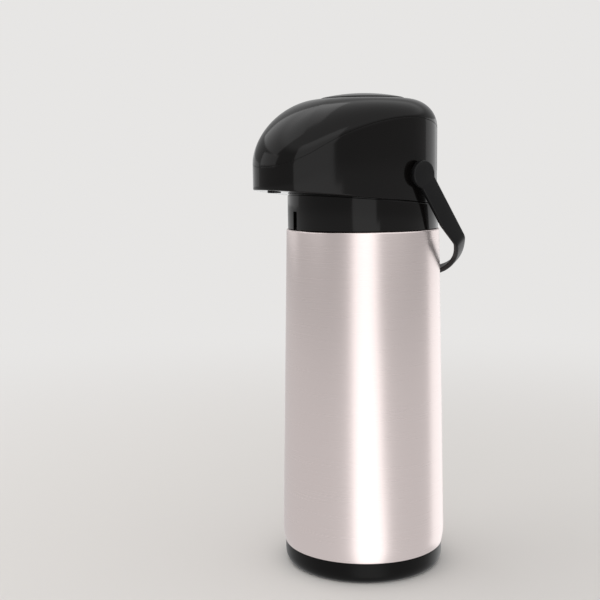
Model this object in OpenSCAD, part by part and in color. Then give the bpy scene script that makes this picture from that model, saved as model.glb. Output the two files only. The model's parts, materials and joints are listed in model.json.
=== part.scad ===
// Thermal coffee airpot: a glass flask in a steel body, with a press pump in a swan-nosed head.
// Millimetres, +Z up, origin on the standing surface under the body's axis, spout towards -Y.

/* [Base] */
// Height of the black base below the steel
base_h = 16.5; // [12:0.5:24]
// How far the base stands back from the steel's bottom edge
base_step = 0.1; // [0:0.1:0.3]
// How far the ring that the pot stands on is drawn in under the base
foot_inset = 5.5; // [4:0.5:8]
// Wall of the base
base_wall = 3; // [2:0.5:4]

/* [Steel body] */
// Height of the steel shell
steel_h = 251.5; // [230:0.5:300]
// Radius of the steel at its top edge
steel_top_r = 60; // [52:0.5:68]
// How much wider the steel is just above its bottom edge
steel_flare = 4.7; // [4:0.1:8]
// How far the steel tucks in at its bottom edge
steel_tuck = 1.6; // [0.5:0.1:1.6]
// Height of the tucked stretch
steel_tuck_h = 13; // [6:1:20]
// Thickness of the steel sheet
steel_wall = 0.6; // [0.4:0.1:1]

/* [Glass flask] */
// Air gap between the steel and the outer flask
flask_air = 2.6; // [2:0.1:5]
// Thickness of the glass
glass_wall = 1.6; // [1.2:0.1:2]
// Vacuum gap between the two flasks
vacuum_gap = 2.2; // [1.5:0.1:4]
// Outside radius of the flask's neck
neck_r = 33; // [30:0.5:34]
// Height of the flask's rounded bottom
flask_dome = 26; // [20:1:36]
// Height of the flask's shoulder
flask_shoulder = 24; // [18:1:36]

/* [Collar] */
// How far the collar stands back from the steel's top edge
collar_step = 1; // [0.6:0.1:1.5]
// Height of the sloped seam above the steel, on the axis
seam_h = 22; // [20:0.2:26]
// Slope of the seam, rising towards the spout, in degrees
seam_tilt = 5.7; // [3:0.1:6.5]
// Width of the groove that shows along the seam
seam_groove = 0.6; // [0.4:0.1:1.4]
// Wall of the collar's skirt
collar_wall = 2; // [1.5:0.25:2.5]
// Width of the notch in the collar's foot below the spout
notch_w = 6; // [4:0.5:10]
// Height of the notch
notch_h = 14; // [8:0.5:16]
// Angle from the spout round to the notch
notch_turn = 11; // [0:1:30]

/* [Head] */
// How far the head's round back stands in from the collar
head_step = 1.1; // [0.6:0.1:2]
// Distance from the axis to the centre of the nose
nose_c = 60.4; // [54:0.1:70]
// Radius of the nose
nose_r = 36; // [31:0.5:40]
// Wall of the moulded head
head_wall = 2.5; // [2:0.1:3]
// Height of the crown of the arched parting line between wall and cover, above the steel
arch_h = 84; // [80:0.5:90]
// How far behind the nose's tip the arch ends and the parting line starts to level out
brow_in = 24; // [18:1:30]
// Height of the parting line where it starts to level out, above the steel
brow_h = 60.8; // [58:0.2:64]
// Height of the parting line at the nose's tip, above the steel
tip_h = 48.3; // [46:0.1:51]
// Height of the cover's rim around the button, above the steel
roof_h = 99.8; // [96:0.1:108]
// Roundness of the cover above the nose: 2 is an ellipse, less is straighter, more is squarer
roof_front = 1.75; // [1.4:0.05:2.4]
// Roundness of the cover at the back
roof_back = 2.1; // [1.6:0.05:2.6]

/* [Pump] */
// How far the press button's edge stands in from the steel's top edge
button_in = 27.5; // [25.5:0.5:33]
// Height of the button's crown above the cover's rim
button_h = 4.6; // [3:0.1:8]
// Travel of the button
stroke = 16; // [10:1:18]
// Number of folds in the bellows
bellows_folds = 5; // [3:1:6]
// Turns of the return spring
spring_turns = 6; // [4:1:8]
// Wire radius of the return spring
spring_wire = 0.9; // [0.6:0.1:1.2]

/* [Spout] */
// Outside radius of the riser tube
riser_r = 5; // [4:0.25:6]
// Outside radius of the spout duct
duct_r = 6; // [5.5:0.25:6.5]
// Wall of the tubes
tube_wall = 1.5; // [1:0.1:1.8]
// Distance from the nose's tip back to the nozzle
nozzle_in = 11.4; // [10:0.1:20]
// Outside radius of the nozzle
nozzle_r = 5; // [4:0.1:5.5]
// How far the nozzle stands out under the nose
nozzle_drop = 1.2; // [0.6:0.2:6]
// Rise of the ball that shuts the riser when the pot tips over
ball_lift = 3; // [2:0.5:4]

/* [Bail handle] */
// Distance of the pivot behind the axis
pivot_y = 6; // [0:0.5:10]
// Height of the pivot above the steel
pivot_h = 42; // [38:0.5:50]
// Radius of the round ends
bail_end_r = 10.4; // [9:0.2:12]
// Thickness of the strip
bail_t = 4.2; // [3:0.1:5]
// Width of the arms
bail_w = 15; // [12:0.5:18]
// Width of the grip at the far end
grip_w = 9; // [7:0.5:12]
// Straight length of the arms
arm_l = 61; // [50:0.5:66]
// Length from the pivot to the outside of the grip
bail_l = 101.5; // [101:0.5:120]
// Radius of the corners
bail_corner_r = 8; // [8:1:20]
// Gap between the hanging bail's grip and the steel
bail_gap = 0.6; // [0.5:0.1:3]
// Radius of the pivot pegs
peg_r = 4; // [3:0.25:5]

/* [Clearances] */
// Between pieces that move past each other
move_gap = 0.35; // [0.3:0.05:0.5]
// Radial clearance of a running pin
run_gap = 0.05; // [0.02:0.01:0.08]
// Between pieces that are held still
seat_gap = 0.1; // [0.05:0.05:0.2]
// Radial play of a piece that drops into another
fit_gap = 0.3; // [0.2:0.05:0.4]

/* [Hidden] */
$fn = 96;

// Overshoot of cutting bodies past the faces they cut
cut = 1;
// Steps of the head's plan outline, and of a curved stretch of a turned profile
outline_steps = 72;
curve_steps = 10;

// Heights and radii of the steel
steel_z0 = base_h;
steel_z1 = base_h + steel_h;
steel_low_r = steel_top_r + steel_flare;
steel_foot_r = steel_low_r - steel_tuck;
steel_edge = 1.2;
steel_slope = steel_flare / (steel_h - steel_tuck_h);

// Base pieces, from the steel inwards
base_r = steel_foot_r - base_step;
foot_r = base_r - foot_inset;
spigot_r = steel_foot_r - steel_wall - fit_gap;
spigot_h = 9;
base_edge_r = 9;
foot_w = 4.2;
ledge_w = 3;
ledge_z = 4.8;
ledge_t = 3;
cap_z = 2;
cap_flange_t = ledge_z - cap_z - seat_gap;
cap_flange_r = foot_r - foot_w - fit_gap;
ledge_r = cap_flange_r - ledge_w;
cap_wall = 2.6;
cap_floor_t = 3;
grip_slot = [24, 7, 1.8];
grip_slot_y = 20;

// Neck ring, which carries the flask and the thread
ring_t = 3.2;
thread_inset = 8;
thread_r = steel_top_r - thread_inset;
thread_wall = 3;
thread_h = 8;
steel_lip_r = thread_r + 2 * fit_gap;
gasket_t = 3;
neck_bore_r = neck_r + gasket_t;
neck_sleeve_wall = 2.4;
neck_sleeve_h = 14;
ring_top_z = steel_z1 - steel_wall - seat_gap;

// Flasks, one inside the other
lip_t = 2;
mouth_rise = 2;
neck_l = 26;
cushion_t = 19.3;
cushion_r = 30;
cushion_z0 = cap_z + cap_floor_t + seat_gap;
flask_r = steel_top_r - steel_wall - flask_air;
flask_top_z = steel_z1 + mouth_rise;
flask_z0 = cushion_z0 + cushion_t + seat_gap;
shoulder_top_z = flask_top_z - neck_l;
shoulder_land = 1;
neck_z0 = shoulder_top_z + shoulder_land;
inner_r = flask_r - glass_wall - vacuum_gap;
inner_neck_r = neck_r - glass_wall - vacuum_gap;
inner_z0 = flask_z0 + glass_wall + vacuum_gap;

// Mouth seal, between the flask's lip and the pump base
seal_t = 2.3;
seal_in = 1;
seal_out = 2;
seal_in_r = inner_neck_r - glass_wall + seal_in;
seal_out_r = neck_r + seal_out;
seal_z0 = flask_top_z + move_gap;
seal_z1 = seal_z0 + seal_t;

// Screws
screw_r = 1.5;
screw_head_r = 2.5;
screw_head_t = 1.8;
quarter_angles = [0, 90, 180, 270];
head_screw_angles = [45, 135, 225, 315];

// Collar and the sloped seam
collar_r = steel_top_r - collar_step;
collar_z0 = steel_z1 + move_gap;
skirt_in_r = collar_r - collar_wall;
sleeve_rise = 1;
seam_z = steel_z1 + seam_h;
web_gap = 1;
web_z = steel_z1 + thread_h + web_gap;
web_t = 2.6;
web_ledge = 5;
web_bore_r = thread_r - thread_wall - web_ledge;
locate_wall = 3;
boss_r = 4;
boss_in = 0.8;
head_screw_r = skirt_in_r - boss_r - boss_in;

// Head outline: a round back, two flank arcs and a round nose, each tangent to the next
head_r = collar_r - head_step;
flank_r = (nose_c * nose_c + head_r * head_r - nose_r * nose_r) / (2 * (head_r - nose_r));
nose_a = atan2(flank_r - head_r, nose_c);
floor_t = head_wall;
floor_top = seam_z + floor_t / cos(seam_tilt);
floor_bore_r = head_screw_r - screw_head_r;
head_screw_l = floor_at(head_screw_r * sin(head_screw_angles[0])) - web_z - web_t;
brow_y = nose_c + nose_r - brow_in;
arch_drop = arch_h - brow_h;
arch_r = (brow_y * brow_y + arch_drop * arch_drop) / (2 * arch_drop);
arch_z = steel_z1 + arch_h - arch_r;
arch_steps = 80;
brow_fall = brow_in * brow_y / (arch_r - arch_drop);
tip_slope = 0.4;
tip_fall = brow_in * tip_slope;
roof_z = steel_z1 + roof_h;
roof_gap = 0.5;
roof_wall = 2.4;
roof_rings = 9;
lip_h = 4;
lip_wall = 1.6;
lip_in = head_wall + fit_gap;
button_r = steel_top_r - button_in;
button_play = 0.8;
open_r = button_r + button_play;
tall = 2 * roof_z;

// Spout duct, sloping with the floor and high enough to pass over the nozzle's flange
nozzle_y = nose_c + nose_r - nozzle_in;
nozzle_flange_w = 2;
nozzle_flange_r = nozzle_r + nozzle_flange_w;
nozzle_flange_t = 1;
duct_rise = 2 * nozzle_flange_r * tan(seam_tilt) + nozzle_flange_t + 2 * seat_gap;
duct_z = floor_top + duct_r / cos(seam_tilt) + duct_rise;
duct_bore_r = duct_r - tube_wall;

// Pump stack
guide_play = 0.6;
cylinder_in_r = button_r + guide_play;
cylinder_wall = 2;
cylinder_out_r = cylinder_in_r + cylinder_wall;
screw_land = 0.5;
cylinder_screw_r = cylinder_out_r + screw_head_r + screw_land;
cylinder_flange_r = cylinder_screw_r + screw_head_r + screw_land;
cylinder_flange_t = 2.5;
chamber_rim = 0.6;
chamber_r = cylinder_flange_r + chamber_rim;
chamber_wall = 2.5;
duct_cover = 2.7;
chamber_z1 = duct_z + chamber_r * tan(seam_tilt) + (duct_r + seat_gap) / cos(seam_tilt) + duct_cover;
plug_r = web_bore_r - fit_gap;
plug_z0 = seal_z1 + move_gap;
plug_floor_t = 2.5;
plug_top_z = plug_z0 + plug_floor_t;
flange_t = 2.5;
flange_z = web_z + web_t + seat_gap;
flange_r = head_screw_r - boss_r - fit_gap;
pump_screw_r = (web_bore_r + flange_r) / 2;
air_hole_r = 3;
air_hole_x = 20;
plate_t = 3;
plate_z = chamber_z1 + seat_gap;
plate_top_z = plate_z + plate_t;
cylinder_z0 = plate_top_z + seat_gap;
cylinder_drop = 8;
cylinder_z1 = roof_z - cylinder_drop;
skirt_z0 = cylinder_z1 - stroke;
skirt_wall = 2;
button_rim = 1;
button_edge = 0.8;
button_top_t = 2.4;
button_under_z = roof_z - button_top_t;
cap_in = 3;
cap_r = button_r - skirt_wall - cap_in;
cap_t = 3;
stem_l = 15.6;
stem_r = 8;
cap_top_z = button_under_z - stem_l;
vent_r = 2.5;
vent_head_r = 5;
vent_head_t = 1.2;
bellows_z0 = plate_top_z + seat_gap;
bellows_z1 = cap_top_z - cap_t - seat_gap;
bellows_play = 1;
bellows_fold = 7;
bellows_out_r = button_r - skirt_wall - bellows_play;
bellows_in_r = bellows_out_r - bellows_fold;
bellows_wall = 1.2;
bellows_seat = 2;
bellows_folded = bellows_z1 - bellows_z0 - 2 * bellows_seat;
spring_share = 0.68;
spring_r = spring_share * (bellows_in_r - bellows_wall);
spring_z0 = bellows_z0 + spring_wire + seat_gap;
spring_z1 = bellows_z1 - spring_wire - seat_gap;
spring_turn_steps = 24;
spring_sides = 8;

// Riser, elbow and ball
riser_foot_gap = 8;
riser_drop = 8;
riser_z0 = inner_z0 + glass_wall + riser_foot_gap;
riser_z1 = duct_z - riser_drop;
elbow_wall = 3.5;
elbow_roof = 1.2;
elbow_r = riser_r + elbow_wall;
elbow_z0 = plug_top_z + seat_gap;
elbow_z1 = duct_z + duct_r + elbow_roof;
ball_seat_lip = 0.4;
ball_cover = 0.5;
ball_play = 0.6;
ball_seat_t = 1;
ball_seat_r = riser_r - tube_wall - ball_seat_lip;
ball_r = ball_seat_r + ball_cover;
ball_chamber_r = ball_r + ball_play;
ball_seat_z = riser_z1 + seat_gap + ball_seat_t;
ball_z = ball_seat_z + sqrt(pow(ball_r + move_gap, 2) - pow(ball_seat_r, 2));
ball_chamber_z1 = ball_z + ball_r + ball_lift + move_gap;
duct_seat = 3;
duct_y0 = elbow_r - duct_seat;

// Nozzle and the socket at the duct's end
socket_wall = 1.8;
socket_r = max(nozzle_r, duct_bore_r) + socket_wall;
nozzle_seam_z = seam_z + nozzle_y * tan(seam_tilt);
nozzle_floor_z = floor_top + nozzle_y * tan(seam_tilt);
nozzle_flange_z = nozzle_floor_z + nozzle_flange_r * tan(seam_tilt) + seat_gap;
nozzle_z0 = nozzle_seam_z - nozzle_drop;
nozzle_end_z = duct_z + nozzle_y * tan(seam_tilt);
socket_z0 = nozzle_flange_z + nozzle_flange_t + seat_gap;

// Bail and its pivots, the bail's outside a hair within the steel's widest radius
pivot_z = steel_z1 + pivot_h;
hub_wall = 4.5;
hub_r = peg_r + hub_wall;
bail_set = 0.05;
arm_x = steel_low_r - bail_set - bail_t / 2;
hub_x = arm_x - bail_t / 2 - move_gap;
boss_depth = 5.4;
boss_in_x = head_r - head_wall - boss_depth;
retainer_wall = 3;
retainer_r = peg_r + retainer_wall;
retainer_t = 1.4;
retainer_x = boss_in_x - move_gap;
peg_end = 2.25;
peg_in_x = retainer_x - retainer_t - peg_end;
grip_n0 = bail_w / 2 - grip_w;
taper_l = 18;
taper_q0 = arm_l - taper_l;
taper_q1 = arm_l + taper_l;

// Angle of the hanging bail from straight down, at which its grip lies bail_gap behind the steel
grip_in_q = bail_l - bail_t;
rest_a = grip_in_q + steel_slope * grip_n0;
rest_b = grip_n0 - steel_slope * grip_in_q;
rest_c = bail_gap + steel_top_r - pivot_y - steel_slope * pivot_h;
bail_rest = asin(rest_c / norm([rest_a, rest_b])) - atan2(rest_b, rest_a);

// Colours
black_gloss = [0.06, 0.06, 0.06];
black_soft = [0.12, 0.12, 0.12];
steel_grey = [0.78, 0.76, 0.74];
glass_tint = [0.82, 0.88, 0.9];
rubber_grey = [0.25, 0.25, 0.26];
clear_tube = [0.88, 0.9, 0.9];
zinc = [0.6, 0.6, 0.62];

function reverse(list) = [for (i = [len(list) - 1:-1:0]) list[i]];

// Point of the head's outline whose outward normal is at angle a from the spout, drawn in by inset
function outline_point(a, inset) =
    let (m = a > 180 ? 360 - a : a, side = a > 180 ? -1 : 1)
    m <= nose_a ? [side * (nose_r - inset) * sin(m), -nose_c - (nose_r - inset) * cos(m)]
    : m <= 90 ? [side * (head_r - flank_r + (flank_r - inset) * sin(m)), -(flank_r - inset) * cos(m)]
    : [side * (head_r - inset) * sin(m), -(head_r - inset) * cos(m)];

function outline(inset) = [for (i = [0:outline_steps - 1]) outline_point(360 * i / outline_steps, inset)];

// Height of the parting line at a distance y along the part: an arch, levelling out in front of the brow
function arch_at(y) = y > -brow_y ? arch_z + sqrt(arch_r * arch_r - y * y) : brow_at((-y - brow_y) / brow_in);

// Height of the parting line at a share t of the way from the brow to the nose's tip
function brow_at(t) = steel_z1 + brow_h - (brow_h - tip_h) * t * t * (3 - 2 * t)
    - brow_fall * t * (1 - t) * (1 - t) + tip_fall * t * t * (1 - t);

// Body below the sloped seam, raised by lift
module below_seam(lift) {
    translate([0, 0, seam_z + lift])
        rotate([-seam_tilt, 0, 0])
            translate([-tall / 2, -tall / 2, -tall])
                cube([tall, tall, tall]);
}

module ring(z0, z1, r_in, r_out) {
    translate([0, 0, z0])
        difference() {
            cylinder(r = r_out, h = z1 - z0);
            translate([0, 0, -cut])
                cylinder(r = r_in, h = z1 - z0 + 2 * cut);
        }
}

// Pan-head screw pointing down, its head resting on z
module screw(z, length) {
    translate([0, 0, z])
        cylinder(r = screw_head_r, h = screw_head_t);
    translate([0, 0, z - length])
        cylinder(r = screw_r, h = length + screw_head_t / 2);
}

// Quarter round from the standing ring up to the base's wall, as profile points
function foot_round() = [for (i = [0:curve_steps])
    let (a = 90 * i / curve_steps) [base_r - foot_inset * (1 - sin(a)), base_edge_r * (1 - cos(a))]];

module base_ring() {
    recess_r = cap_flange_r + fit_gap;
    color(black_gloss)
        rotate_extrude()
            polygon(concat(
                [[ledge_r, ledge_z], [recess_r, ledge_z], [recess_r, 0]],
                foot_round(),
                [[base_r, base_h - seat_gap], [spigot_r, base_h - seat_gap],
                    [spigot_r, base_h + spigot_h], [spigot_r - base_wall, base_h + spigot_h],
                    [spigot_r - base_wall, ledge_z + ledge_t], [ledge_r, ledge_z + ledge_t]]));
}

module base_cap() {
    wall_r = ledge_r - fit_gap;
    color(black_soft)
        difference() {
            rotate_extrude()
                polygon([[0, cap_z], [cap_flange_r, cap_z], [cap_flange_r, cap_z + cap_flange_t],
                    [wall_r, cap_z + cap_flange_t], [wall_r, base_h], [wall_r - cap_wall, base_h],
                    [wall_r - cap_wall, cap_z + cap_floor_t], [0, cap_z + cap_floor_t]]);
            for (side = [-1, 1])
                translate([-grip_slot.x / 2, side * grip_slot_y - grip_slot.y / 2, cap_z - cut])
                    cube([grip_slot.x, grip_slot.y, cut + grip_slot.z]);
        }
}

// Half profile of a bottle's surface: rounded bottom, straight side, shoulder, neck
function bottle(r, z0, r_neck, z_shoulder, z_top) = concat(
    [for (i = [0:curve_steps]) let (a = 90 * i / curve_steps)
        [r * sin(a), z0 + flask_dome * (1 - cos(a))]],
    [for (i = [0:curve_steps]) let (u = i / curve_steps)
        [r + (r_neck - r) * (1 - cos(180 * u)) / 2, z_shoulder - flask_shoulder * (1 - u)]],
    [[r_neck, z_top]]);

module liner_cushion() {
    color(rubber_grey)
        rotate_extrude()
            polygon(concat(
                [[0, cushion_z0], [cushion_r, cushion_z0]],
                [for (i = [0:curve_steps]) let (x = cushion_r * (1 - i / curve_steps))
                    [x, flask_z0 - seat_gap + flask_dome * (1 - sqrt(1 - pow(x / flask_r, 2)))]]));
}

module steel_shell() {
    function side(wall) = [for (i = [0:curve_steps]) let (u = 1 - i / curve_steps)
        [steel_low_r - wall - steel_tuck * u * u, steel_z0 + steel_tuck_h * i / curve_steps]];
    function edge(wall) = [for (i = [0:curve_steps]) let (a = 90 * i / curve_steps)
        [steel_top_r - steel_edge + (steel_edge - wall) * cos(a),
            steel_z1 - steel_edge + (steel_edge - wall) * sin(a)]];
    color(steel_grey)
        rotate_extrude()
            polygon(concat(
                side(0), edge(0),
                [[steel_lip_r, steel_z1], [steel_lip_r, steel_z1 - steel_wall]],
                reverse(edge(steel_wall)), reverse(side(steel_wall))));
}

module neck_ring() {
    flange = steel_top_r - steel_wall - 2 * fit_gap;
    color(black_soft) {
        ring(ring_top_z - ring_t, ring_top_z, neck_bore_r, flange);
        ring(ring_top_z - ring_t / 2, steel_z1 + thread_h, thread_r - thread_wall, thread_r);
        ring(ring_top_z - neck_sleeve_h, ring_top_z - ring_t / 2,
            neck_bore_r, neck_bore_r + neck_sleeve_wall);
    }
}

module neck_gasket() {
    color(rubber_grey)
        ring(ring_top_z - neck_sleeve_h, ring_top_z, neck_r + seat_gap, neck_bore_r - seat_gap);
}

module flask_outer() {
    color(glass_tint)
        rotate_extrude()
            polygon(concat(bottle(flask_r, flask_z0, neck_r, shoulder_top_z, flask_top_z - lip_t),
                reverse(bottle(flask_r - glass_wall, flask_z0 + glass_wall, neck_r - glass_wall,
                    shoulder_top_z, flask_top_z - lip_t))));
}

module flask_inner() {
    color(glass_tint)
        rotate_extrude()
            polygon(concat(bottle(inner_r, inner_z0, inner_neck_r, shoulder_top_z, neck_z0),
                reverse(bottle(inner_r - glass_wall, inner_z0 + glass_wall, inner_neck_r - glass_wall,
                    shoulder_top_z, neck_z0))));
}

// Neck of the inner flask, with the lip at which the two flasks are fused
module flask_neck() {
    color(glass_tint) {
        ring(neck_z0, flask_top_z, inner_neck_r - glass_wall, inner_neck_r);
        ring(flask_top_z - lip_t, flask_top_z, inner_neck_r - glass_wall / 2, neck_r);
    }
}

module mouth_seal() {
    color(rubber_grey)
        ring(seal_z0, seal_z1, seal_in_r, seal_out_r);
}

module at_head_screws() {
    for (a = head_screw_angles)
        rotate([0, 0, a])
            translate([head_screw_r, 0, 0])
                children();
}

module at_pump_screws() {
    for (a = quarter_angles)
        rotate([0, 0, a])
            translate([pump_screw_r, 0, 0])
                children();
}

module at_cylinder_screws() {
    for (a = quarter_angles)
        rotate([0, 0, a])
            translate([cylinder_screw_r, 0, 0])
                children();
}

module collar() {
    sleeve_in_r = thread_r + move_gap;
    wall_top = seam_z + collar_r * tan(seam_tilt) + cut;
    color(black_gloss)
        difference() {
            union() {
                intersection() {
                    ring(collar_z0, wall_top, skirt_in_r, collar_r);
                    below_seam(-seam_groove);
                }
                intersection() {
                    union() {
                        ring(web_z, wall_top, skirt_in_r - locate_wall, skirt_in_r + collar_wall / 2);
                        at_head_screws()
                            translate([0, 0, web_z])
                                cylinder(r = boss_r, h = wall_top - web_z);
                    }
                    below_seam(-seat_gap);
                }
                ring(web_z, web_z + web_t, web_bore_r, skirt_in_r + collar_wall / 2);
                ring(collar_z0 + sleeve_rise, web_z + web_t / 2, sleeve_in_r, sleeve_in_r + collar_wall);
            }
            at_pump_screws()
                translate([0, 0, web_z - cut])
                    cylinder(r = screw_r + seat_gap, h = web_t + 2 * cut);
            at_head_screws()
                translate([0, 0, web_z + web_t / 2])
                    cylinder(r = screw_r + seat_gap, h = wall_top - web_z);
            rotate([0, 0, -90 - notch_turn])
                translate([skirt_in_r - cut, -notch_w / 2, collar_z0 - cut])
                    cube([collar_wall + 2 * cut, notch_w, notch_h + cut]);
        }
}

// Height of the sloped floor's top at a distance y along the part
function floor_at(y) = floor_top - y * tan(seam_tilt);

// Upright bore through the sloped floor at a place [x, y]
module floor_bore(at, r) {
    translate([at.x, at.y, steel_z1])
        cylinder(r = r, h = floor_at(at.y) + r * tan(seam_tilt) + cut - steel_z1);
}

// Body below the parting line
module below_arch() {
    front = -nose_c - nose_r - cut;
    back = head_r + cut;
    line = [for (i = [0:arch_steps]) let (y = front + (back - front) * i / arch_steps) [y, arch_at(y)]];
    rotate([90, 0, 90])
        linear_extrude(tall, center = true)
            polygon(concat(line, [[back, 0], [front, 0]]));
}

module head_shell() {
    wall_top = steel_z1 + arch_h + cut;
    color(black_gloss)
        difference() {
            intersection() {
                union() {
                    translate([0, 0, steel_z1])
                        linear_extrude(wall_top - steel_z1)
                            polygon(outline(0));
                    for (side = [-1, 1])
                        translate([side * head_r / 2, pivot_y, pivot_z])
                            rotate([0, 90 * side, 0])
                                cylinder(r = hub_r, h = hub_x - head_r / 2);
                }
                below_arch();
            }
            difference() {
                translate([0, 0, steel_z1 - cut])
                    linear_extrude(wall_top - steel_z1 + 2 * cut)
                        polygon(outline(head_wall));
                below_seam(floor_t / cos(seam_tilt));
                for (side = [-1, 1])
                    translate([side * boss_in_x, pivot_y, pivot_z])
                        rotate([0, 90 * side, 0])
                            cylinder(r = hub_r, h = head_r);
            }
            below_seam(0);
            floor_bore([0, 0], floor_bore_r);
            floor_bore([0, -nozzle_y], nozzle_r + seat_gap);
            for (a = head_screw_angles)
                floor_bore(head_screw_r * [cos(a), sin(a)], screw_r + seat_gap);
            translate([0, pivot_y, pivot_z])
                rotate([0, 90, 0])
                    cylinder(r = peg_r + run_gap, h = tall, center = true);
        }
}

// Roundness of the cover at outline angle a
function roof_power(a) = roof_front + (roof_back - roof_front) * (1 - cos(a)) / 2;

// Points of a roof curve from its foot up to the rim of the button's opening
function roof_curve(foot, foot_z, top, top_z, power) = [for (i = [0:roof_rings])
    let (b = 90 * i / roof_rings, t = pow(cos(b), 2 / power), rise = pow(sin(b), 2 / power))
    concat(top + (foot - top) * t, [foot_z + (top_z - foot_z) * rise])];

// One rib of the cover from the button's opening to its rim, down its lip and back underneath
function cover_section(a) =
    let (rim = outline_point(a, 0), lip = outline_point(a, lip_in),
        inner = outline_point(a, lip_in + lip_wall), top = open_r * rim / norm(rim),
        rim_z = arch_at(rim.y) + roof_gap, lip_z = arch_at(lip.y) + roof_gap,
        inner_z = arch_at(inner.y) + roof_gap)
    concat(
        reverse(roof_curve(rim, rim_z, top, roof_z, roof_power(a))),
        [concat(lip, [lip_z]), concat(lip, [lip_z - lip_h]), concat(inner, [inner_z - lip_h])],
        roof_curve(inner, inner_z, top, roof_z - roof_wall, roof_power(a)));

module top_cover() {
    sections = [for (i = [0:outline_steps - 1]) cover_section(360 * i / outline_steps)];
    count = len(sections[0]);
    points = [for (s = sections) for (p = s) p];
    faces = [for (i = [0:outline_steps - 1]) for (j = [0:count - 1])
        let (a = i * count + j, b = i * count + (j + 1) % count,
            c = ((i + 1) % outline_steps) * count + (j + 1) % count,
            d = ((i + 1) % outline_steps) * count + j)
        each [[a, b, c], [a, c, d]]];
    color(black_gloss)
        polyhedron(points, faces);
}

module pump_base() {
    color(black_soft)
        difference() {
            rotate_extrude()
                polygon([[0, plug_z0], [plug_r, plug_z0], [plug_r, flange_z], [flange_r, flange_z],
                    [flange_r, flange_z + flange_t], [chamber_r, flange_z + flange_t],
                    [chamber_r, chamber_z1], [chamber_r - chamber_wall, chamber_z1],
                    [chamber_r - chamber_wall, plug_top_z], [0, plug_top_z]]);
            translate([0, 0, plug_z0 - cut])
                cylinder(r = riser_r + seat_gap, h = plug_floor_t + 2 * cut);
            for (side = [-1, 1])
                translate([side * air_hole_x, 0, plug_z0 - cut])
                    cylinder(r = air_hole_r, h = plug_floor_t + 2 * cut);
            along_duct(0)
                cylinder(r = duct_r + seat_gap, h = nozzle_y);
            at_pump_screws()
                translate([0, 0, flange_z - cut])
                    cylinder(r = screw_r + seat_gap, h = flange_t + 2 * cut);
        }
}

module bellows_plate() {
    color(black_soft)
        difference() {
            translate([0, 0, plate_z])
                cylinder(r = chamber_r, h = plate_t);
            for (side = [-1, 1])
                translate([side * (bellows_in_r - 2 * air_hole_r), 0, plate_z - cut])
                    cylinder(r = air_hole_r, h = plate_t + 2 * cut);
            at_cylinder_screws()
                translate([0, 0, plate_z - cut])
                    cylinder(r = screw_r + seat_gap, h = plate_t + 2 * cut);
        }
}

module pump_cylinder() {
    color(black_soft)
        difference() {
            union() {
                ring(cylinder_z0, cylinder_z1, cylinder_in_r, cylinder_in_r + cylinder_wall);
                ring(cylinder_z0, cylinder_z0 + cylinder_flange_t, cylinder_in_r, cylinder_flange_r);
            }
            at_cylinder_screws()
                translate([0, 0, cylinder_z0 - cut])
                    cylinder(r = screw_r + seat_gap, h = cylinder_flange_t + 2 * cut);
        }
}

// Zigzag side of the bellows, drawn in by inset
function bellows_side(inset) = [for (i = [0:2 * bellows_folds])
    [(i % 2 == 0 ? bellows_in_r : bellows_out_r) - inset,
        bellows_z0 + bellows_seat + bellows_folded * i / (2 * bellows_folds)]];

module bellows() {
    inside = bellows_in_r - bellows_wall;
    color(rubber_grey)
        rotate_extrude()
            polygon(concat([[inside, bellows_z0], [bellows_in_r, bellows_z0]], bellows_side(0),
                [[bellows_in_r, bellows_z1], [inside, bellows_z1]], reverse(bellows_side(bellows_wall))));
}

// Point on the spring's wire: turn angle a, side angle b
function spring_point(a, b) =
    let (u = a / (360 * spring_turns))
    [(spring_r + spring_wire * cos(b)) * cos(a), (spring_r + spring_wire * cos(b)) * sin(a),
        spring_z0 + (spring_z1 - spring_z0) * u + spring_wire * sin(b)];

module return_spring() {
    rings = spring_turns * spring_turn_steps;
    points = [for (i = [0:rings]) for (j = [0:spring_sides - 1])
        spring_point(360 * i / spring_turn_steps, 360 * j / spring_sides)];
    sides = [for (i = [0:rings - 1]) for (j = [0:spring_sides - 1])
        let (a = i * spring_sides + j, b = i * spring_sides + (j + 1) % spring_sides)
        each [[a, b, b + spring_sides], [a, b + spring_sides, a + spring_sides]]];
    first = [for (j = [1:spring_sides - 2]) [0, j + 1, j]];
    last = [for (j = [1:spring_sides - 2]) [0, j, j + 1] + rings * spring_sides * [1, 1, 1]];
    gaps = [for (i = [0:rings - spring_turn_steps])
        norm(points[(i + spring_turn_steps) * spring_sides] - points[i * spring_sides]) - 2 * spring_wire];
    echo(spring_least_gap = min(gaps));
    color(zinc)
        polyhedron(points, concat(sides, first, last));
}

module bellows_cap() {
    color(black_soft)
        difference() {
            translate([0, 0, cap_top_z - cap_t])
                cylinder(r = cap_r, h = cap_t);
            translate([0, 0, cap_top_z - cap_t - cut])
                cylinder(r = vent_r + seat_gap, h = cap_t + 2 * cut);
        }
}

module vent_plug() {
    color(rubber_grey) {
        translate([0, 0, cap_top_z - cap_t - seat_gap])
            cylinder(r = vent_r, h = cap_t + 2 * seat_gap);
        translate([0, 0, cap_top_z + seat_gap])
            cylinder(r = vent_head_r, h = vent_head_t);
    }
}

module press_button() {
    crown_z = roof_z + button_h;
    stem_in = vent_head_r + seat_gap;
    dome = [for (i = [0:curve_steps]) let (x = (button_r - button_edge) * i / curve_steps)
        [x, crown_z - (button_h - button_rim) * pow(x / button_r, 2)]];
    color(black_gloss)
        rotate_extrude()
            polygon(concat(dome,
                [[button_r, roof_z + button_rim - button_edge], [button_r, skirt_z0],
                    [button_r - skirt_wall, skirt_z0], [button_r - skirt_wall, button_under_z],
                    [stem_r, button_under_z], [stem_r, cap_top_z + seat_gap],
                    [stem_in, cap_top_z + seat_gap], [stem_in, button_under_z], [0, button_under_z]]));
}

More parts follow.
